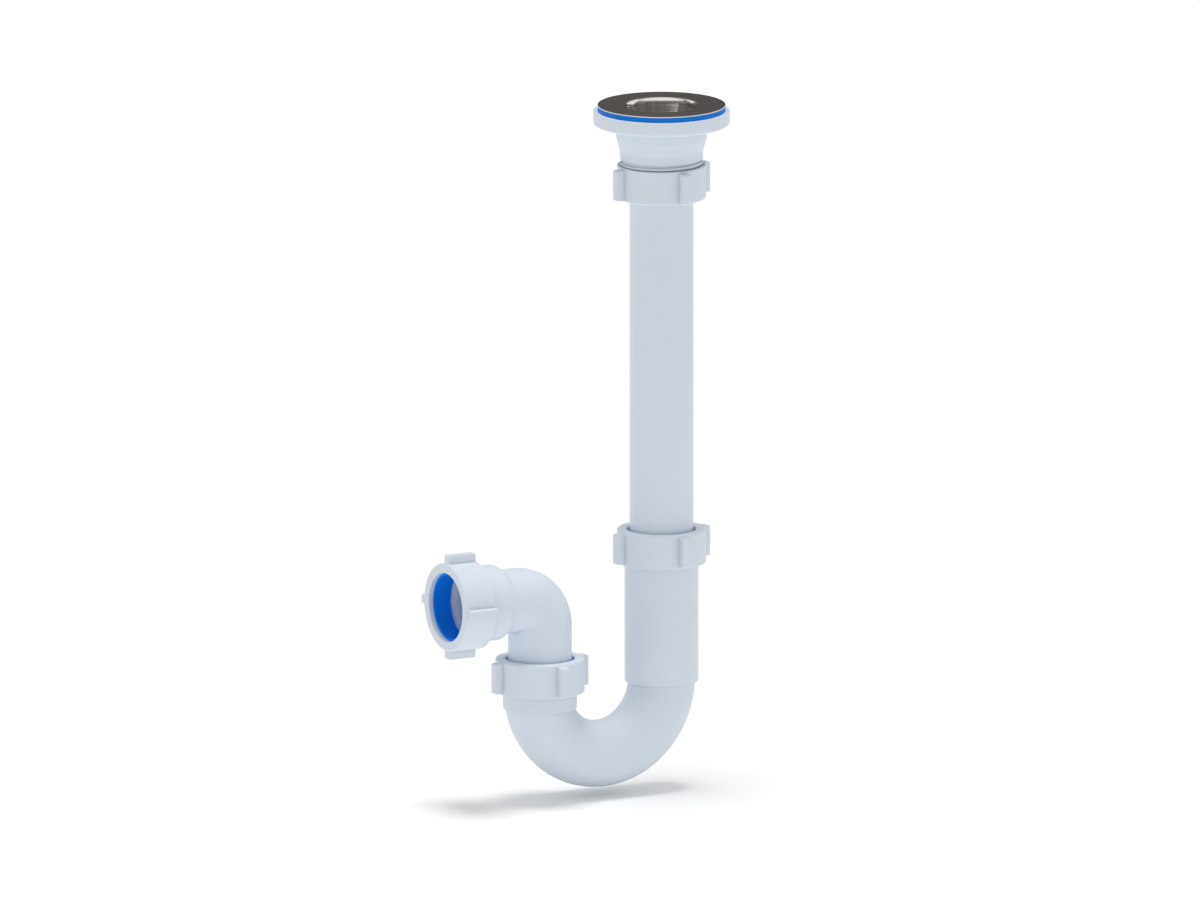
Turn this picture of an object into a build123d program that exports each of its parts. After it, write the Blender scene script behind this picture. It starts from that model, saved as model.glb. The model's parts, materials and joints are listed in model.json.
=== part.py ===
from build123d import *
import os

# Basin sink trap: strainer waste, straight inlet tube, U-bend and outlet elbow, held together by
# four winged union nuts. Millimetres, +Z up. The origin is on the waste's axis, on the seat where the
# basin's drain edge is clamped between the strainer's rim and the gasket. The outlet points to -X.

# Driving dimensions

# Tubes and fits
tube_od = 32.0
tube_wall = 1.8
tube_length = 220.0
tube_insertion = 40.2
tube_lead_in = 0.8
slip_fit = 0.25
seal_fit = 0.12
seat_gap = 0.2
stop_gap = 0.3

# Male union thread, as its plain core: the fine ridges are no part of these solids
thread_od = 41.6
thread_depth = 1.3
thread_fit = 0.25
thread_length = 10.2
thread_lead_in = 0.6

# Union nut with wings
nut_height = 17.2
nut_wall = 1.3
nut_lip = 2.6
nut_lip_bore = 34.6
nut_edge = 1.2
nut_skirt_edge = 0.5
lip_bore_edge = 0.8
lug_count = 4
lug_width = 4.6
lug_reach = 4.3
lug_setback_lip = 0.8
lug_setback_skirt = 0.9
lug_corner = 1.1
lug_edge = 0.45

# Cone seal, as radial walls round the tube that it grips
seal_head = 3.9
seal_head_wall = 2.75
seal_shoulder_wall = 2.1
seal_nose_wall = 0.8
seal_nose = 5.5

# Strainer cup, pressed from sheet
sheet = 0.5
cup_rim_od = 64.0
cup_mouth_od = 35.4
cup_floor_od = 28.0
cup_depth = 11.5
cup_lip_radius = 3.0
cup_corner_radius = 2.5
drain_ring_od = 22.5
drain_hub_od = 13.0
drain_count = 4
drain_spoke = 3.4
drain_corner = 1.0

# Centre screw and its insert
screw_diameter = 6.0
screw_length = 24.0
screw_tip = 0.8
screw_head_od = 10.4
screw_head_height = 2.8
screw_dome = 1.2
screw_slot_width = 1.4
screw_slot_depth = 1.3
screw_hole_room = 0.3
screw_fit = 0.05
insert_od = 8.4
insert_length = 10.0
insert_groove = 0.6
insert_groove_width = 2.0
insert_fit = 0.05

# Gasket
gasket_od = 63.8
gasket_id = 45.0
gasket_thickness = 2.5

# Waste body
flange_od = 68.4
flange_thickness = 7.2
flange_bottom_edge = 1.8
flange_top_edge = 0.3
housing_od = 45.6
housing_bore = 38.4
housing_drop = 16.0
neck_od = 41.8
neck_bore = 34.0
neck_start = 22.8
shoulder_blend = 2.5
waste_thread_start = 26.7
waste_length = 40.2
bore_taper_start = 14.5
bore_taper_end = 19.0
boss_od = 13.0
boss_top = 17.5
boss_floor = 2.0
rib_count = 4
rib_thickness = 2.4
rib_drop = 1.5

# Collar and washer under the waste
collar_thickness = 2.3
collar_rim = 2.9
washer_thickness = 2.0
washer_room = 0.4

# U-bend
bend_od = 33.6
bend_wall = 2.35
bend_radius = 35.5
outlet_shift = 1.5
socket_od = 37.0
socket_edge = 0.2
inlet_socket_depth = 69.4
inlet_socket_skirt = 1.7
outlet_rise = 10.2
outlet_socket_skirt = 8.9

# Outlet elbow
spigot_insertion = 15.0
elbow_rise = 52.2
elbow_wall = 2.3
elbow_throat = 0.3
elbow_reach = 47.7
elbow_socket_depth = 19.0
elbow_collar_od = 38.2
elbow_shoulder = 5.0
elbow_shoulder_wall = 2.2
elbow_shoulder_blend = 2.5

# Sizes that follow
tube_radius = tube_od / 2
tube_bore_radius = tube_radius - tube_wall
slip_radius = tube_radius + slip_fit
socket_radius = socket_od / 2
thread_core_radius = thread_od / 2 - thread_depth
nut_bore_radius = thread_od / 2 + thread_fit
nut_radius = nut_bore_radius + nut_wall
nut_skirt = nut_height - nut_lip
collar_radius = tube_radius + collar_rim
seal_bore_radius = tube_radius + seal_fit
seal_shoulder_radius = seal_bore_radius + seal_shoulder_wall
seal_nose_radius = seal_bore_radius + seal_nose_wall
seat_mouth_radius = seal_shoulder_radius + seat_gap
seat_depth = seal_nose * (seat_mouth_radius - slip_radius) / (seal_shoulder_radius - seal_nose_radius)
bend_bore_radius = bend_od / 2 - bend_wall
leg_spacing = 2 * bend_radius - outlet_shift
elbow_bore_radius = tube_radius - elbow_wall
elbow_bend_radius = elbow_bore_radius + elbow_throat
screw_radius = screw_diameter / 2
insert_radius = insert_od / 2

# Levels, from the basin seat down the inlet and up the outlet
flange_top = -gasket_thickness
flange_bottom = flange_top - flange_thickness
waste_end = -waste_length
collar_top = waste_end - washer_thickness
collar_seat = collar_top - collar_thickness
tube_bottom = collar_top - tube_length
inlet_mouth = tube_bottom + tube_insertion
bend_level = inlet_mouth - inlet_socket_depth
outlet_mouth = bend_level + outlet_rise
spigot_end = outlet_mouth - spigot_insertion
elbow_level = spigot_end + elbow_rise
cup_floor = sheet / 2 - cup_depth
cup_floor_top = cup_floor + sheet / 2
insert_bottom = -boss_top - insert_length
boss_bottom = insert_bottom - boss_floor
rib_top = -boss_top - rib_drop

# Section planes of the three sockets: local x is the radius, local y points out of the mouth
inlet_section = Plane((0, 0, inlet_mouth), x_dir=(1, 0, 0), z_dir=(0, -1, 0))
outlet_section = Plane((-leg_spacing, 0, outlet_mouth), x_dir=(1, 0, 0), z_dir=(0, -1, 0))
elbow_section = Plane((-leg_spacing - elbow_reach, 0, elbow_level), x_dir=(0, 0, 1), z_dir=(0, -1, 0))
inlet_axis = Axis.Z
outlet_axis = Axis((-leg_spacing, 0, 0), (0, 0, 1))
elbow_axis = Axis((0, 0, elbow_level), (-1, 0, 0))

# Seat planes of the union nuts: their z points the way the nut comes off
waste_seat = Plane((0, 0, collar_seat), x_dir=(1, 0, 0), z_dir=(0, 0, -1))
trap_seat = Plane((0, 0, inlet_mouth + seal_head), x_dir=(1, 0, 0), z_dir=(0, 0, 1))
elbow_seat = Plane((-leg_spacing, 0, outlet_mouth + seal_head), x_dir=(1, 0, 0), z_dir=(0, 0, 1))
outlet_seat = Plane(
    (-leg_spacing - elbow_reach - seal_head, 0, elbow_level), x_dir=(0, 0, 1), z_dir=(-1, 0, 0)
)

os.makedirs("parts", exist_ok=True)


def corner(sketch, x, y):
    """The vertex of a sketch that lies nearest to a point of its plane."""
    return sketch.vertices().sort_by_distance((x, y, 0))[0]


def socket_wall(section, outer_radius, depth):
    """Half section of a socket with its threaded mouth, solid to the axis."""
    with BuildSketch(section) as wall:
        with BuildLine():
            Polyline(
                (0, 0),
                (thread_core_radius, 0),
                (thread_core_radius, -thread_length),
                (outer_radius, -thread_length),
                (outer_radius, -depth),
                (0, -depth),
                close=True,
            )
        make_face()
        chamfer(corner(wall, thread_core_radius, 0), thread_lead_in)
    return wall.sketch


def socket_bore(section, depth):
    """Half section of a socket's bore: the cone that takes the seal, then the slip bore to its stop."""
    with BuildSketch(section) as bore:
        with BuildLine():
            Polyline(
                (0, 0),
                (seat_mouth_radius, 0),
                (slip_radius, -seat_depth),
                (slip_radius, -depth),
                (0, -depth),
                close=True,
            )
        make_face()
    return bore.sketch


# Strainer cup: flat rim, rounded lip, bowl and a floor with sector drains round the screw
with BuildPart() as strainer_cup:
    with BuildSketch(Plane.XZ):
        with BuildLine():
            FilletPolyline(
                (cup_rim_od / 2, sheet / 2),
                (cup_mouth_od / 2, sheet / 2),
                (cup_floor_od / 2, cup_floor),
                (screw_radius + screw_hole_room, cup_floor),
                radius=(cup_lip_radius, cup_corner_radius),
            )
        trace(line_width=sheet)
    revolve(axis=Axis.Z)
    with BuildSketch(Plane.XY.offset(cup_floor)) as drains:
        Circle(drain_ring_od / 2)
        Circle(drain_hub_od / 2, mode=Mode.SUBTRACT)
        with PolarLocations(drain_ring_od / 4, drain_count):
            Rectangle(drain_ring_od / 2, drain_spoke, mode=Mode.SUBTRACT)
        fillet(drains.vertices(), drain_corner)
    extrude(amount=sheet, both=True, mode=Mode.SUBTRACT)
strainer_cup.part.label = "strainer_cup"
export_step(strainer_cup.part, "parts/strainer_cup.step")

# Centre screw: domed slotted head on the cup's floor, shank down through the insert
with BuildPart() as cup_screw:
    with BuildSketch(Plane.XZ):
        with BuildLine():
            head_base = (screw_head_od / 2, cup_floor_top)
            head_edge = (screw_head_od / 2, cup_floor_top + screw_head_height - screw_dome)
            head_crown = (0, cup_floor_top + screw_head_height)
            tip = cup_floor_top - screw_length
            Polyline(
                head_crown,
                (0, tip),
                (screw_radius - screw_tip, tip),
                (screw_radius, tip + screw_tip),
                (screw_radius, cup_floor_top),
                head_base,
                head_edge,
            )
            RadiusArc(
                head_edge,
                head_crown,
                -((screw_head_od / 2) ** 2 + screw_dome**2) / (2 * screw_dome),
            )
        make_face()
    revolve(axis=Axis.Z)
    with BuildSketch(Plane.XY.offset(cup_floor_top + screw_head_height)):
        Rectangle(screw_head_od, screw_slot_width)
    extrude(amount=-screw_slot_depth, mode=Mode.SUBTRACT)
cup_screw.part.label = "cup_screw"
export_step(cup_screw.part, "parts/cup_screw.step")

# Brass insert with its retaining groove
with BuildPart() as threaded_insert:
    with BuildSketch(Plane.XY.offset(-boss_top)):
        Circle(insert_radius)
        Circle(screw_radius + screw_fit, mode=Mode.SUBTRACT)
    extrude(amount=-insert_length)
    with BuildSketch(Plane.XY.offset(-boss_top - (insert_length - insert_groove_width) / 2)):
        Circle(insert_od)
        Circle(insert_radius - insert_groove, mode=Mode.SUBTRACT)
    extrude(amount=-insert_groove_width, mode=Mode.SUBTRACT)
threaded_insert.part.label = "threaded_insert"
export_step(threaded_insert.part, "parts/threaded_insert.step")

# Gasket on the flange
with BuildPart() as flange_gasket:
    with BuildSketch(Plane.XY):
        Circle(gasket_od / 2)
        Circle(gasket_id / 2, mode=Mode.SUBTRACT)
    extrude(amount=-gasket_thickness)
flange_gasket.part.label = "flange_gasket"
export_step(flange_gasket.part, "parts/flange_gasket.step")

# Waste body: flange, bowl housing, neck and thread core, with a ribbed boss for the insert
with BuildPart() as waste_body:
    with BuildSketch(Plane.XZ) as shell:
        with BuildLine():
            Polyline(
                (housing_bore / 2, flange_top),
                (flange_od / 2, flange_top),
                (flange_od / 2, flange_bottom),
                (housing_od / 2, flange_bottom),
                (housing_od / 2, -housing_drop),
                (neck_od / 2, -neck_start),
                (neck_od / 2, -waste_thread_start),
                (thread_core_radius, -waste_thread_start),
                (thread_core_radius, waste_end),
                (neck_bore / 2, waste_end),
                (neck_bore / 2, -bore_taper_end),
                (housing_bore / 2, -bore_taper_start),
                close=True,
            )
        make_face()
        fillet(corner(shell, flange_od / 2, flange_bottom), flange_bottom_edge)
        fillet(corner(shell, flange_od / 2, flange_top), flange_top_edge)
        fillet(corner(shell, housing_od / 2, -housing_drop), shoulder_blend)
        fillet(corner(shell, neck_od / 2, -neck_start), shoulder_blend)
        chamfer(corner(shell, thread_core_radius, waste_end), thread_lead_in)
    revolve(axis=Axis.Z)
    with BuildSketch(Plane.XY.offset(rib_top)):
        with PolarLocations((neck_bore + boss_od) / 4, rib_count):
            Rectangle((neck_bore - boss_od) / 2 + rib_thickness, rib_thickness)
    extrude(amount=boss_bottom - rib_top)
    with BuildSketch(Plane.XY.offset(-boss_top)):
        Circle(boss_od / 2)
    extrude(amount=boss_bottom + boss_top)
    with BuildSketch(Plane.XY.offset(-boss_top)):
        Circle(insert_radius + insert_fit)
    extrude(amount=-insert_length, mode=Mode.SUBTRACT)
    with BuildSketch(Plane.XY.offset(insert_bottom)):
        Circle(screw_radius + screw_hole_room)
    extrude(amount=-boss_floor, mode=Mode.SUBTRACT)
waste_body.part.label = "waste_body"
export_step(waste_body.part, "parts/waste_body.step")

# Flat washer between the waste's end and the tube's collar
with BuildPart() as tube_washer:
    with BuildSketch(Plane.XY.offset(waste_end)):
        Circle(collar_radius)
        Circle(tube_bore_radius + washer_room, mode=Mode.SUBTRACT)
    extrude(amount=-washer_thickness)
tube_washer.part.label = "tube_washer"
export_step(tube_washer.part, "parts/tube_washer.step")

# Inlet tube with the collar that the waste nut lifts
with BuildPart() as inlet_tube:
    with BuildSketch(Plane.XZ) as tube_section:
        with BuildLine():
            Polyline(
                (tube_bore_radius, collar_top),
                (collar_radius, collar_top),
                (collar_radius, collar_seat),
                (tube_radius, collar_seat),
                (tube_radius, tube_bottom),
                (tube_bore_radius, tube_bottom),
                close=True,
            )
        make_face()
        chamfer(corner(tube_section, tube_radius, tube_bottom), tube_lead_in)
    revolve(axis=Axis.Z)
inlet_tube.part.label = "inlet_tube"
export_step(inlet_tube.part, "parts/inlet_tube.step")

# U-bend: long inlet socket, half-turn bend, short outlet socket
with BuildPart() as u_bend:
    bend_plane = Plane.XY.offset(bend_level)
    bend_axis = Axis((-bend_radius, 0, bend_level), (0, 1, 0))
    inlet_wall = socket_wall(inlet_section, socket_radius, inlet_socket_depth + inlet_socket_skirt)
    outlet_wall = socket_wall(outlet_section, socket_radius, outlet_rise + outlet_socket_skirt)
    inlet_skirt = (0, 0, bend_level - inlet_socket_skirt)
    revolve(inlet_wall, axis=inlet_axis)
    revolve(outlet_wall, axis=outlet_axis)
    chamfer(u_bend.edges().filter_by(GeomType.CIRCLE).group_by(Axis.Z)[0], socket_edge)
    chamfer(u_bend.edges().filter_by(GeomType.CIRCLE).sort_by_distance(inlet_skirt)[0], socket_edge)
    with BuildSketch(bend_plane):
        Circle(bend_od / 2)
    revolve(axis=bend_axis, revolution_arc=180)
    with BuildSketch(bend_plane):
        Circle(bend_bore_radius)
    revolve(axis=bend_axis, revolution_arc=180, mode=Mode.SUBTRACT)
    revolve(socket_bore(inlet_section, inlet_socket_depth), axis=inlet_axis, mode=Mode.SUBTRACT)
    revolve(socket_bore(outlet_section, spigot_insertion + stop_gap), axis=outlet_axis, mode=Mode.SUBTRACT)
u_bend.part.label = "u_bend"
export_step(u_bend.part, "parts/u_bend.step")

# Outlet elbow: spigot, tight bend with a sharp throat, shouldered socket with a threaded mouth
with BuildPart() as outlet_elbow:
    bend_start = Plane((-leg_spacing, 0, elbow_level - elbow_bend_radius))
    throat_axis = Axis(
        (-leg_spacing - elbow_bend_radius, 0, elbow_level - elbow_bend_radius), (0, -1, 0)
    )
    spigot_length = elbow_rise - elbow_bend_radius
    with BuildSketch(bend_start):
        Circle(tube_radius)
    extrude(amount=-spigot_length)
    chamfer(outlet_elbow.edges().group_by(Axis.Z)[0], tube_lead_in)
    with BuildSketch(bend_start):
        Circle(tube_radius)
        with Locations((-elbow_bend_radius, 0)):
            Rectangle(tube_od, tube_od, align=(Align.MAX, Align.CENTER), mode=Mode.SUBTRACT)
    revolve(axis=throat_axis, revolution_arc=90)
    with BuildSketch(elbow_section) as leg_section:
        with BuildLine():
            leg_start = elbow_bend_radius - elbow_reach
            shoulder_end = -elbow_socket_depth - elbow_shoulder_wall
            Polyline(
                (0, leg_start),
                (tube_radius, leg_start),
                (tube_radius, shoulder_end - elbow_shoulder),
                (elbow_collar_od / 2, shoulder_end),
                (elbow_collar_od / 2, -thread_length),
                (0, -thread_length),
                close=True,
            )
        make_face()
        fillet(corner(leg_section, elbow_collar_od / 2, shoulder_end), elbow_shoulder_blend)
    revolve(axis=elbow_axis)
    revolve(socket_wall(elbow_section, elbow_collar_od / 2, elbow_socket_depth), axis=elbow_axis)
    with BuildSketch(bend_start):
        Circle(elbow_bore_radius)
    extrude(amount=-spigot_length, mode=Mode.SUBTRACT)
    with BuildSketch(bend_start):
        Circle(elbow_bore_radius)
    revolve(axis=throat_axis, revolution_arc=90, mode=Mode.SUBTRACT)
    with BuildSketch(Plane((-leg_spacing - elbow_bend_radius, 0, elbow_level), z_dir=(-1, 0, 0))):
        Circle(elbow_bore_radius)
    extrude(amount=elbow_reach - elbow_bend_radius, mode=Mode.SUBTRACT)
    revolve(socket_bore(elbow_section, elbow_socket_depth), axis=elbow_axis, mode=Mode.SUBTRACT)
outlet_elbow.part.label = "outlet_elbow"
export_step(outlet_elbow.part, "parts/outlet_elbow.step")

# One wing of a union nut, its edges rounded except where it grows out of the wall
with BuildPart() as lug:
    with BuildSketch(Plane.XZ) as lug_side:
        lug_root = nut_bore_radius + nut_wall / 2
        lug_tip = nut_radius + lug_reach
        lug_low = lug_setback_skirt - nut_skirt
        lug_high = nut_lip - lug_setback_lip
        with BuildLine():
            Polyline(
                (lug_root, lug_low),
                (lug_tip, lug_low),
                (lug_tip, lug_high),
                (lug_root, lug_high),
                close=True,
            )
        make_face()
        fillet(lug_side.vertices().group_by(Axis.X)[-1], lug_corner)
    extrude(amount=lug_width / 2, both=True)
    fillet(lug.faces().filter_by(Axis.Y).edges() - lug.edges().group_by(Axis.X)[0], lug_edge)

# Union nut: threaded skirt, lip that bears on the seal or collar, and the wings round it
with BuildPart() as union_nut:
    with BuildSketch(Plane.XZ) as nut_section:
        with BuildLine():
            Polyline(
                (nut_lip_bore / 2, 0),
                (nut_lip_bore / 2, nut_lip),
                (nut_radius, nut_lip),
                (nut_radius, -nut_skirt),
                (nut_bore_radius, -nut_skirt),
                (nut_bore_radius, 0),
                close=True,
            )
        make_face()
        fillet(corner(nut_section, nut_radius, nut_lip), nut_edge)
        fillet(corner(nut_section, nut_radius, -nut_skirt), nut_skirt_edge)
        fillet(corner(nut_section, nut_lip_bore / 2, nut_lip), lip_bore_edge)
    revolve(axis=Axis.Z)
    with PolarLocations(0, lug_count):
        add(lug.part)

nut_seats = {
    "waste_nut": waste_seat,
    "trap_nut": trap_seat,
    "elbow_nut": elbow_seat,
    "outlet_nut": outlet_seat,
}
for nut_name, seat in nut_seats.items():
    with BuildPart(seat) as placed_nut:
        add(union_nut.part)
    placed_nut.part.label = nut_name
    export_step(placed_nut.part, f"parts/{nut_name}.step")

# Cone seal: flat head under the nut's lip, tapered nose in the socket's cone
with BuildPart() as cone_seal:
    with BuildSketch(Plane.XZ):
        with BuildLine():
            Polyline(
                (seal_bore_radius, 0),
                (seal_bore_radius + seal_head_wall, 0),
                (seal_bore_radius + seal_head_wall, -seal_head),
                (seal_shoulder_radius, -seal_head),
                (seal_nose_radius, -seal_head - seal_nose),
                (seal_bore_radius, -seal_head - seal_nose),
                close=True,
            )
        make_face()
    revolve(axis=Axis.Z)

seal_seats = {"trap_seal": trap_seat, "elbow_seal": elbow_seat, "outlet_seal": outlet_seat}
for seal_name, seat in seal_seats.items():
    with BuildPart(seat) as placed_seal:
        add(cone_seal.part)
    placed_seal.part.label = seal_name
    export_step(placed_seal.part, f"parts/{seal_name}.step")
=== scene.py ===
import json
import math

import bmesh
import bpy
from mathutils import Matrix, Vector


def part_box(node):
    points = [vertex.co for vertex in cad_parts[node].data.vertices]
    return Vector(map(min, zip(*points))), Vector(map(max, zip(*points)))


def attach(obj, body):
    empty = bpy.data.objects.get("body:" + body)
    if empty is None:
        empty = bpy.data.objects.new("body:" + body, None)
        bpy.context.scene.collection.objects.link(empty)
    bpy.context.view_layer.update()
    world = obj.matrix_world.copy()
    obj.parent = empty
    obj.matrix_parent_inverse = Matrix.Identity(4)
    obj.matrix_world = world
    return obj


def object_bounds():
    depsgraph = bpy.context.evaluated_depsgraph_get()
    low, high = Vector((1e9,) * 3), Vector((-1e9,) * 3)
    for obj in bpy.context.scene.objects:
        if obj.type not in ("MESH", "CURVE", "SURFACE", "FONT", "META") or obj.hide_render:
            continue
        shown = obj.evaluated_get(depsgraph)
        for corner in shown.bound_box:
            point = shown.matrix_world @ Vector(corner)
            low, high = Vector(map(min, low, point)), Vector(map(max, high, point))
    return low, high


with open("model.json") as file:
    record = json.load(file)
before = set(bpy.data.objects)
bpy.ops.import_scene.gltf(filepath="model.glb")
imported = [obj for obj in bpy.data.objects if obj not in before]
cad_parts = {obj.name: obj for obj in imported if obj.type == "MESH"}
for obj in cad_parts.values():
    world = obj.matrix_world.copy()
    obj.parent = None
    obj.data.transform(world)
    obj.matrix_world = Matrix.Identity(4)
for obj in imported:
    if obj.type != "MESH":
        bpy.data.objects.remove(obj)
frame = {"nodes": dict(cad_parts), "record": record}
cad_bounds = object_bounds()
record = frame["record"]
scene = bpy.context.scene
scene.view_settings.view_transform = "Standard"

# Union threads, in metres: the core and the nut's bore are the solids' own
THREAD_PITCH = record["behaviour"]["couplings"][0]["ratio"] * math.tau
THREAD_CORE = 0.0195
THREAD_CREST = 0.0208
NUT_BORE = 0.02105
NUT_CREST = 0.0199
NUT_SKIRT = 0.0146
RIDGE_SUNK = 0.0003
MOUTH_SETBACK = 0.0011
SKIRT_SETBACK = 0.0012
WASTE_RIDGE = 0.0121
SOCKET_RIDGE = 0.0081
NUT_RIDGE = 0.009

# A ridge's half widths at its root, shoulder and crest, in metres, and its shoulder's share of its height
MALE_HALF_WIDTHS = (0.00085, 0.00052, 0.0003)
NUT_HALF_WIDTHS = (0.0007, 0.00024, 0.00012)
SHOULDER_SHARE = 0.9
STEPS_PER_TURN = 72
FADE_TURNS = 0.2
FADE_LEAST = 0.02

# Finishes: colours, and what several of them share
WHITE = (0.763, 0.832, 0.912)
WHITE_SHADE = (0.744, 0.812, 0.893)
TUBE_SHADE = (0.749, 0.817, 0.898)
GASKET_BLUE = (0.002, 0.215, 0.77)
GASKET_SHADE = (0.001, 0.195, 0.71)
SEAL_BLUE = (0.001, 0.24, 0.95)
SEAL_SHADE = (0.001, 0.215, 0.88)
STEEL = (0.66, 0.645, 0.635)
STEEL_SHADE = (0.6, 0.585, 0.575)
SCREW = (0.62, 0.61, 0.6)
SCREW_SHADE = (0.56, 0.55, 0.54)
BRASS = (0.75, 0.56, 0.27)
BRASS_SHADE = (0.68, 0.49, 0.22)
PLASTIC_SPECULAR = 0.4
RUBBER_SPECULAR = 0.15
RUBBER_ROUGHNESS = (0.45, 0.6)
ACROSS_THE_RINGS = 0.25
DRAWN_ALONG_Z = (1, 1, 0.015)
FLATTENED = (1, 1, 0)

# Most of a noise's values lie between these
NOISE_LOW = 0.3
NOISE_HIGH = 0.7

# Painted shade in the inner corners of the mouldings, which darkens their colour a little
CREASE_REACH = 0.004
CREASE_CLOSED = 0.35
CREASE_OPEN = 0.85
CREASE_PAINTED_SHADE = (0.75, 0.75, 0.75, 1)
CREASE_SAMPLES = 8

# Stage: sizes in metres, and how strongly its faces glow
FLOOR_REACH = 12.0
FLOOR_GAP = 0.0042
FLOOR_LIFT = 0.06
PAPER = (1.0, 1.0, 1.0)
PAPER_SHADE = (0.99, 0.99, 0.99)
SURROUND_RADIUS = 1.2
SURROUND_LOW = 0.0
SURROUND_HIGH = 1.5
SURROUND_TINT = (1.0, 0.94, 0.9, 1)
GLOW_LOW = 0.2
GLOW_HIGH = 1.4
GLOW_AT_LOW = 0.115
GLOW_AT_HIGH = 0.4
BAND_LEAST = 0.7
BAND_MOST = 1.35
SOFTBOX_RADIUS = 0.8
SOFTBOX_GLOW = 1.25
FACE_LEAST = 0.95
FACE_MOST = 1.05
ROUND_SEGMENTS = 64
PANEL_DISTANCE = 1.1
PANELS = (
    # name, turn from straight behind the object, middle's height, half width, half height, glow
    ("panel_right", math.radians(-45.0), 0.85, 0.5, 0.5, 1.15),
    ("panel_left", math.radians(35.0), 0.85, 0.3, 0.3, 1.15),
    ("panel_front", math.radians(140.0), 0.27, 0.5, 0.15, 0.95),
)
WHITE_LIGHT = (1, 1, 1, 1)
BLACK = (0, 0, 0, 1)

# Light: the lamp's share of what falls on the floor, with the rest from all round
LAMP_SHARE = 0.46
LAMP_SPREAD = math.radians(20.0)

# The photo's view: a parallel one, 600 mm wide, with the origin right of and above its middle
VIEW_AZIMUTH = math.radians(-29.0)
VIEW_ELEVATION = math.radians(11.5)
VIEW_WIDTH = 0.6
VIEW_RIGHT = -0.03075
VIEW_UP = -0.1723
VIEW_DISTANCE = 3.0
VIEW_DEPTH = 60.0


class Shader:
    """A node material, with the few helpers that the finishes below share."""

    def __init__(self, name):
        self.material = bpy.data.materials.new(name)
        self.material.use_nodes = True
        self.tree = self.material.node_tree
        self.surface = self.tree.nodes["Principled BSDF"]
        self.coordinates = self.add("ShaderNodeTexCoord").outputs["Object"]

    def add(self, kind, **settings):
        node = self.tree.nodes.new(kind)
        for key, value in settings.items():
            setattr(node, key, value)
        return node

    def link(self, output, socket):
        self.tree.links.new(output, socket)

    def noise(self, scale, detail=2.0, vector=None):
        node = self.add("ShaderNodeTexNoise")
        node.inputs["Scale"].default_value = scale
        node.inputs["Detail"].default_value = detail
        self.link(vector or self.coordinates, node.inputs["Vector"])
        return node.outputs["Fac"]

    def ramp(self, value, from_low, from_high, low, high):
        """Maps from_low..from_high to low..high."""
        node = self.add("ShaderNodeMapRange")
        node.inputs["From Min"].default_value = from_low
        node.inputs["From Max"].default_value = from_high
        node.inputs["To Min"].default_value = low
        node.inputs["To Max"].default_value = high
        self.link(value, node.inputs["Value"])
        return node.outputs["Result"]

    def spread(self, value, low, high):
        """Maps a noise value's middle range to low..high."""
        return self.ramp(value, NOISE_LOW, NOISE_HIGH, low, high)

    def mix(self, factor, **settings):
        """A mix of two colours, as their two sockets and its result."""
        node = self.add("ShaderNodeMix", data_type="RGBA", **settings)
        self.link(factor, node.inputs["Factor"])
        colours = [socket for socket in node.inputs if socket.type == "RGBA"]
        return colours, next(socket for socket in node.outputs if socket.type == "RGBA")

    def tint(self, factor, first, second):
        colours, result = self.mix(factor)
        colours[0].default_value = (*first, 1)
        colours[1].default_value = (*second, 1)
        return result

    def mottle(self, scale, detail, dark, light):
        """A cloudy change between two close colours."""
        return self.tint(self.spread(self.noise(scale, detail), 0.0, 1.0), dark, light)

    def with_painted_crease_shade(self, colour):
        """The colour with painted shade: darker where two faces of the same piece meet."""
        corner = self.add("ShaderNodeAmbientOcclusion", samples=CREASE_SAMPLES, only_local=True)
        corner.inputs["Distance"].default_value = CREASE_REACH
        closeness = self.ramp(corner.outputs["AO"], CREASE_CLOSED, CREASE_OPEN, 1.0, 0.0)
        colours, result = self.mix(closeness, blend_type="MULTIPLY")
        self.link(colour, colours[0])
        colours[1].default_value = CREASE_PAINTED_SHADE
        return result

    def stretched(self, stretch):
        """The object's coordinates, scaled along each axis."""
        node = self.add("ShaderNodeVectorMath", operation="MULTIPLY")
        node.inputs[1].default_value = stretch
        self.link(self.coordinates, node.inputs[0])
        return node.outputs["Vector"]

    def bump(self, height, distance, under=None):
        node = self.add("ShaderNodeBump")
        node.inputs["Strength"].default_value = 1.0
        node.inputs["Distance"].default_value = distance
        self.link(height, node.inputs["Height"])
        if under is not None:
            self.link(under, node.inputs["Normal"])
        return node.outputs["Normal"]

    def set(self, socket, value):
        if isinstance(value, bpy.types.NodeSocket):
            self.link(value, self.surface.inputs[socket])
        else:
            self.surface.inputs[socket].default_value = value


def moulded_plastic(name, light, dark, roughness, grain):
    """Satin polypropylene: a faint flow mottle in its colour and gloss, painted shade in its inner corners,
    and a fine moulded grain.
    """
    shader = Shader(name)
    flow = shader.mottle(scale=45.0, detail=4.0, dark=dark, light=light)
    waves = shader.bump(shader.noise(scale=110.0), distance=0.00006)
    pebble = shader.noise(scale=2200.0, detail=3.0)
    # Painted shade: the base colour is darkened in the piece's own inner corners
    shader.set("Base Color", shader.with_painted_crease_shade(flow))
    shader.set("Roughness", shader.spread(shader.noise(scale=160.0), *roughness))
    shader.set("Specular IOR Level", PLASTIC_SPECULAR)
    shader.set("Normal", shader.bump(pebble, distance=grain, under=waves))
    return shader.material


def drawn_plastic(name, light, dark, roughness):
    """Extruded tube: smooth, with faint lines along Z that the die leaves."""
    shader = Shader(name)
    lines = shader.noise(scale=900.0, detail=3.0, vector=shader.stretched(DRAWN_ALONG_Z))
    shader.set("Base Color", shader.mottle(scale=30.0, detail=3.0, dark=dark, light=light))
    shader.set("Roughness", shader.spread(lines, *roughness))
    shader.set("Specular IOR Level", PLASTIC_SPECULAR)
    shader.set("Normal", shader.bump(lines, distance=0.000008))
    return shader.material


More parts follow.
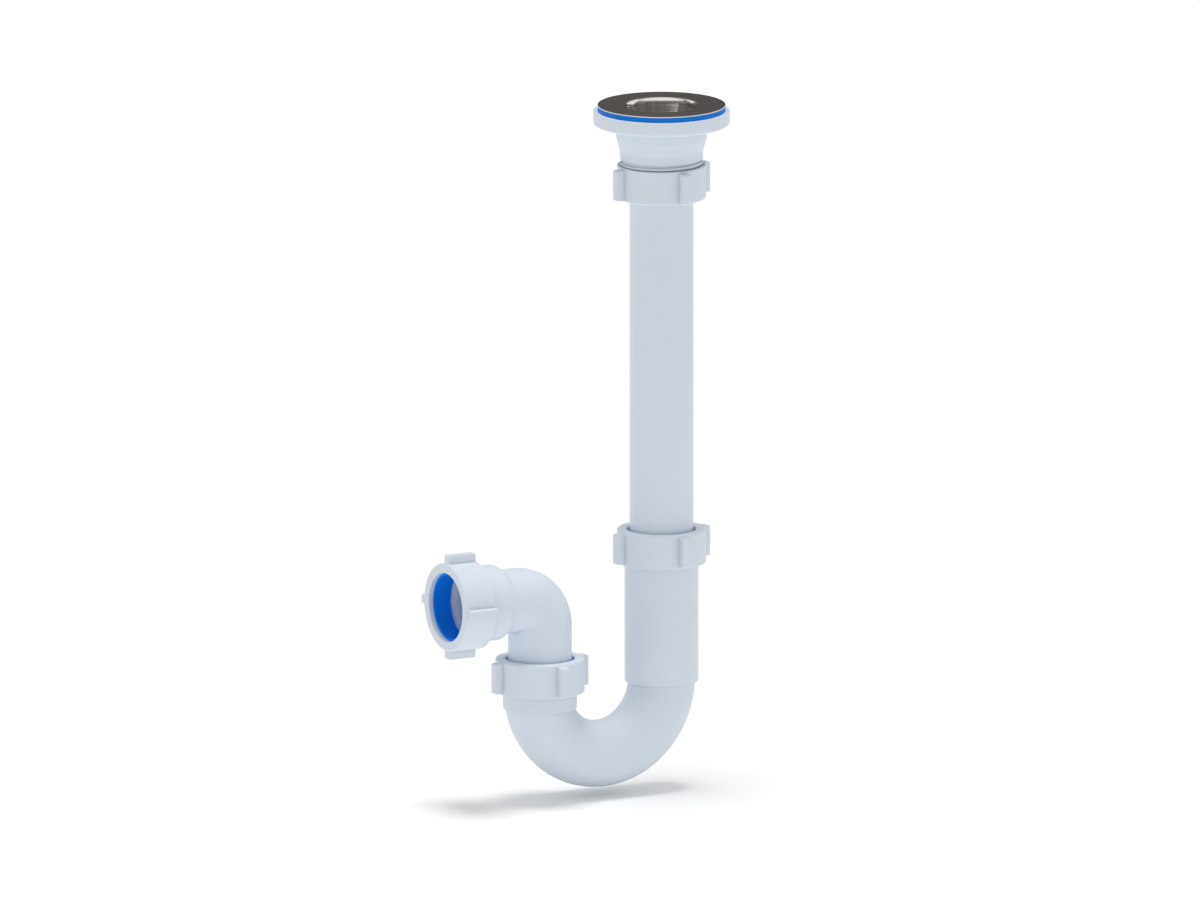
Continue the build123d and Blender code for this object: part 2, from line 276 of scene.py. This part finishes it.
def elastomer(name, light, dark):
    """Soft sealing rubber: deep colour, a dull skin and a fine pebble."""
    shader = Shader(name)
    pebble = shader.noise(scale=2600.0, detail=3.0)
    shader.set("Base Color", shader.mottle(scale=90.0, detail=3.0, dark=dark, light=light))
    shader.set("Roughness", shader.spread(shader.noise(scale=400.0), *RUBBER_ROUGHNESS))
    shader.set("Specular IOR Level", RUBBER_SPECULAR)
    shader.set("Normal", shader.bump(pebble, distance=0.000012))
    return shader.material


def turned_metal(name, light, dark, roughness, streak, ring_scale, ring_height):
    """Metal with fine rings about its axis, which show in its colour and smear its reflections."""
    shader = Shader(name)
    radius = shader.add("ShaderNodeVectorMath", operation="LENGTH")
    shader.link(shader.stretched(FLATTENED), radius.inputs[0])
    ring_noise = shader.add("ShaderNodeTexNoise", noise_dimensions="1D")
    ring_noise.inputs["Scale"].default_value = ring_scale
    ring_noise.inputs["Detail"].default_value = 4.0
    shader.link(radius.outputs["Value"], ring_noise.inputs["W"])
    rings = ring_noise.outputs["Fac"]
    around = shader.add("ShaderNodeTangent", direction_type="RADIAL", axis="Z")
    shader.set("Base Color", shader.tint(shader.spread(rings, 0.0, 1.0), dark, light))
    shader.set("Metallic", 1.0)
    shader.set("Roughness", shader.spread(rings, *roughness))
    shader.set("Anisotropic", streak)
    shader.set("Anisotropic Rotation", ACROSS_THE_RINGS)
    shader.set("Tangent", around.outputs["Tangent"])
    shader.set("Normal", shader.bump(rings, distance=ring_height))
    return shader.material


FINISHES = {
    "white_plastic": moulded_plastic(
        "white_plastic", WHITE, WHITE_SHADE, roughness=(0.37, 0.47), grain=0.00001
    ),
    "nut_plastic": moulded_plastic(
        "nut_plastic", WHITE, WHITE_SHADE, roughness=(0.41, 0.51), grain=0.000016
    ),
    "tube_plastic": drawn_plastic("tube_plastic", WHITE, TUBE_SHADE, roughness=(0.32, 0.41)),
    "blue_gasket": elastomer("blue_gasket", GASKET_BLUE, GASKET_SHADE),
    "blue_seal": elastomer("blue_seal", SEAL_BLUE, SEAL_SHADE),
    "stainless_sheet": turned_metal(
        "stainless_sheet",
        STEEL,
        STEEL_SHADE,
        roughness=(0.07, 0.17),
        streak=0.6,
        ring_scale=2600.0,
        ring_height=0.0000003,
    ),
    "stainless_screw": turned_metal(
        "stainless_screw",
        SCREW,
        SCREW_SHADE,
        roughness=(0.18, 0.28),
        streak=0.3,
        ring_scale=3600.0,
        ring_height=0.000001,
    ),
    "brass_insert": turned_metal(
        "brass_insert",
        BRASS,
        BRASS_SHADE,
        roughness=(0.28, 0.38),
        streak=0.3,
        ring_scale=3000.0,
        ring_height=0.000002,
    ),
}

for subpart in record["subparts"]:
    mesh = frame["nodes"][subpart["node"]].data
    mesh.materials.clear()
    mesh.materials.append(FINISHES[subpart["material_slot"]])


def mesh_object(name, build, material):
    """An object in the scene, from its finished mesh."""
    mesh = bpy.data.meshes.new(name)
    build.to_mesh(mesh)
    build.free()
    mesh.materials.append(material)
    made = bpy.data.objects.new(name, mesh)
    scene.collection.objects.link(made)
    return made


def ridge_profile(root, crest, half_widths):
    """A ridge's section as radii and places along the axis, up one side of it and down the other."""
    shoulder = root + (crest - root) * SHOULDER_SHARE
    side = list(zip((root, shoulder, crest), half_widths))
    return [(radius, -half) for radius, half in side] + [(radius, half) for radius, half in reversed(side)]


def thread_ridge(name, body, slot, seat, start, length, phase, profile):
    """A right-hand ridge about a nut's axis, from start outwards, that fades out at both ends."""
    outward = Vector(seat["axis"])
    first = Vector((outward.z, 0, -outward.x))
    second = outward.cross(first)
    root = profile[0][0]
    turns = length / THREAD_PITCH
    build = bmesh.new()
    rings = []
    for i in range(int(turns * STEPS_PER_TURN) + 1):
        turn = i / STEPS_PER_TURN
        rise = math.sqrt(max(min(turn, turns - turn, FADE_TURNS) / FADE_TURNS, FADE_LEAST))
        angle = (phase + turn) * math.tau
        radial = first * math.cos(angle) + second * math.sin(angle)
        middle = Vector(seat["pos_m"]) + outward * (start + turn * THREAD_PITCH)
        rings.append(
            [
                build.verts.new(middle + radial * (root + (radius - root) * rise) + outward * side)
                for radius, side in profile
            ]
        )
    count = len(profile)
    for near, far in zip(rings, rings[1:]):
        for j in range(count):
            build.faces.new((near[j], near[(j + 1) % count], far[(j + 1) % count], far[j]))
    build.faces.new(rings[0])
    build.faces.new(list(reversed(rings[-1])))
    bmesh.ops.recalc_face_normals(build, faces=build.faces)
    ridge = mesh_object(name, build, FINISHES[slot])
    ridge.data.shade_smooth()
    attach(ridge, body)


# Threads: a ridge on each plain core, and one in its nut that runs in the groove between the turns
joints = {joint["name"]: joint for joint in record["behaviour"]["joints"]}
seal_head = joints["trap_nut_turn"]["pos_m"][2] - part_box("u_bend")[1][2]
collar_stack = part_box("waste_body")[0][2] - joints["waste_nut_turn"]["pos_m"][2]
male_profile = ridge_profile(THREAD_CORE - RIDGE_SUNK, THREAD_CREST, MALE_HALF_WIDTHS)
nut_profile = ridge_profile(NUT_BORE + RIDGE_SUNK, NUT_CREST, NUT_HALF_WIDTHS)
UNIONS = (
    # male ridge, body that carries it, nut, nut's seat to the male thread's mouth, male ridge's length
    ("waste_thread", "waste", "waste_nut", collar_stack, WASTE_RIDGE),
    ("trap_inlet_thread", "u_bend", "trap_nut", seal_head, SOCKET_RIDGE),
    ("trap_outlet_thread", "u_bend", "elbow_nut", seal_head, SOCKET_RIDGE),
    ("elbow_thread", "outlet_elbow", "outlet_nut", seal_head, SOCKET_RIDGE),
)
for male, carrier, nut, seat_to_mouth, male_length in UNIONS:
    nut_seat = joints[nut + "_turn"]
    male_start = -seat_to_mouth - MOUTH_SETBACK - male_length
    nut_start = SKIRT_SETBACK - NUT_SKIRT
    nut_phase = (nut_start - male_start) / THREAD_PITCH - 0.5
    thread_ridge(male, carrier, "white_plastic", nut_seat, male_start, male_length, 0.0, male_profile)
    thread_ridge(nut + "_thread", nut, "nut_plastic", nut_seat, nut_start, NUT_RIDGE, nut_phase, nut_profile)


def staged(name, build, material):
    """An object in the scene, from its finished mesh, made like any other: the floor and the pieces that
    only reflections see.
    """
    made = mesh_object(name, build, material)
    return made


def reflected_only(made):
    """Only reflections see it: it neither lights the object nor shades it."""
    made.visible_camera = False
    made.visible_diffuse = False
    made.visible_transmission = False
    made.visible_shadow = False
    made.active_material.cycles.emission_sampling = "NONE"


def glowing(shader, colour, strength):
    """Makes a surface glow and reflect nothing."""
    shader.set("Base Color", BLACK)
    shader.set("Specular IOR Level", 0.0)
    shader.set("Emission Color", colour)
    shader.set("Emission Strength", strength)
    return shader.material


def lamp_face(name, strength):
    """A lamp's soft face, as reflections see it."""
    face = Shader(name)
    uneven = face.spread(face.noise(scale=3.0), strength * FACE_LEAST, strength * FACE_MOST)
    return glowing(face, WHITE_LIGHT, uneven)


# Floor: white paper just under the object, which hangs clear of it as in the photo
paper = Shader("paper")
camera_ray = paper.add("ShaderNodeLightPath").outputs["Is Camera Ray"]
paper.set("Base Color", paper.tint(paper.noise(scale=6.0), PAPER_SHADE, PAPER))
paper.set("Roughness", 1.0)
paper.set("Specular IOR Level", 0.0)
paper.set("Emission Color", WHITE_LIGHT)
paper.set("Emission Strength", paper.ramp(camera_ray, 0.0, 1.0, 0.0, FLOOR_LIFT))
paper.material.cycles.emission_sampling = "NONE"
floor = bmesh.new()
bmesh.ops.create_grid(floor, size=FLOOR_REACH)
bmesh.ops.translate(floor, verts=floor.verts, vec=(0, 0, cad_bounds[0][2] - FLOOR_GAP))
staged("floor", floor, paper.material)

# A dark surround with uneven bands, open above and below: it draws the polished steel
shade = Shader("surround_shade")
height = shade.add("ShaderNodeSeparateXYZ")
shade.link(shade.coordinates, height.inputs["Vector"])
glow = shade.ramp(height.outputs["Z"], GLOW_LOW, GLOW_HIGH, GLOW_AT_LOW, GLOW_AT_HIGH)
bands = shade.spread(shade.noise(scale=1.4, vector=shade.stretched(FLATTENED)), BAND_LEAST, BAND_MOST)
banded = shade.add("ShaderNodeMath", operation="MULTIPLY")
shade.link(glow, banded.inputs[0])
shade.link(bands, banded.inputs[1])
wall = bmesh.new()
bmesh.ops.create_cone(
    wall,
    segments=ROUND_SEGMENTS,
    radius1=SURROUND_RADIUS,
    radius2=SURROUND_RADIUS,
    depth=SURROUND_HIGH - SURROUND_LOW,
)
bmesh.ops.translate(wall, verts=wall.verts, vec=(0, 0, (SURROUND_HIGH + SURROUND_LOW) / 2))
reflected_only(staged("surround", wall, glowing(shade, SURROUND_TINT, banded.outputs["Value"])))

# The overhead lamp's face
softbox = bmesh.new()
bmesh.ops.create_circle(softbox, cap_ends=True, segments=ROUND_SEGMENTS, radius=SOFTBOX_RADIUS)
bmesh.ops.translate(softbox, verts=softbox.verts, vec=(0, 0, SURROUND_HIGH))
reflected_only(staged("softbox", softbox, lamp_face("softbox_face", SOFTBOX_GLOW)))

# Upright panels: the dish's lip reflects the two behind the object, and its wall the one in front
for name, angle, middle, half_width, half_height, strength in PANELS:
    panel = bmesh.new()
    bmesh.ops.create_grid(panel, size=1.0)
    upright = Matrix.Rotation(math.pi / 2, 4, "X") @ Matrix.Diagonal((half_width, half_height, 1, 1))
    outwards = Matrix.Translation((0, PANEL_DISTANCE, middle)) @ upright
    turned = Matrix.Rotation(VIEW_AZIMUTH + angle, 4, "Z") @ outwards
    bmesh.ops.transform(panel, matrix=turned, verts=panel.verts)
    reflected_only(staged(name, panel, lamp_face(name + "_face", strength)))

# Even white surroundings, weaker where they light the object
world = bpy.data.worlds.new("studio")
scene.world = world
world.use_nodes = True
sky = world.node_tree
background = sky.nodes["Background"]
path = sky.nodes.new("ShaderNodeLightPath")
seen = sky.nodes.new("ShaderNodeMath")
seen.operation = "MAXIMUM"
seen_or_through = sky.nodes.new("ShaderNodeMath")
seen_or_through.operation = "MAXIMUM"
level = sky.nodes.new("ShaderNodeMapRange")
level.inputs["To Min"].default_value = 1.0 - LAMP_SHARE
level.inputs["To Max"].default_value = 1.0
background.inputs["Color"].default_value = WHITE_LIGHT
sky.links.new(path.outputs["Is Camera Ray"], seen.inputs[0])
sky.links.new(path.outputs["Is Glossy Ray"], seen.inputs[1])
sky.links.new(seen.outputs["Value"], seen_or_through.inputs[0])
sky.links.new(path.outputs["Is Transmission Ray"], seen_or_through.inputs[1])
sky.links.new(seen_or_through.outputs["Value"], level.inputs["Value"])
sky.links.new(level.outputs["Result"], background.inputs["Strength"])

# A soft light from straight above
lamp = bpy.data.lights.new("overhead", "SUN")
lamp.energy = LAMP_SHARE * math.pi
lamp.angle = LAMP_SPREAD
overhead = bpy.data.objects.new("overhead", lamp)
overhead.location = (0, 0, SURROUND_HIGH)
overhead.visible_glossy = False
scene.collection.objects.link(overhead)

# Camera at the photo's angle
view_right = Vector((math.cos(VIEW_AZIMUTH), math.sin(VIEW_AZIMUTH), 0))
view_level = Vector((math.sin(VIEW_AZIMUTH), -math.cos(VIEW_AZIMUTH), 0))
view_back = view_level * math.cos(VIEW_ELEVATION) + Vector((0, 0, math.sin(VIEW_ELEVATION)))
view_up = view_back.cross(view_right)
camera_data = bpy.data.cameras.new("photo_view")
camera_data.type = "ORTHO"
camera_data.ortho_scale = VIEW_WIDTH
camera_data.clip_end = VIEW_DEPTH
camera = bpy.data.objects.new("photo_view", camera_data)
camera.location = view_right * VIEW_RIGHT + view_up * VIEW_UP + view_back * VIEW_DISTANCE
camera.rotation_mode = "QUATERNION"
camera.rotation_quaternion = (-view_back).to_track_quat("-Z", "Y")
scene.collection.objects.link(camera)
scene.camera = camera
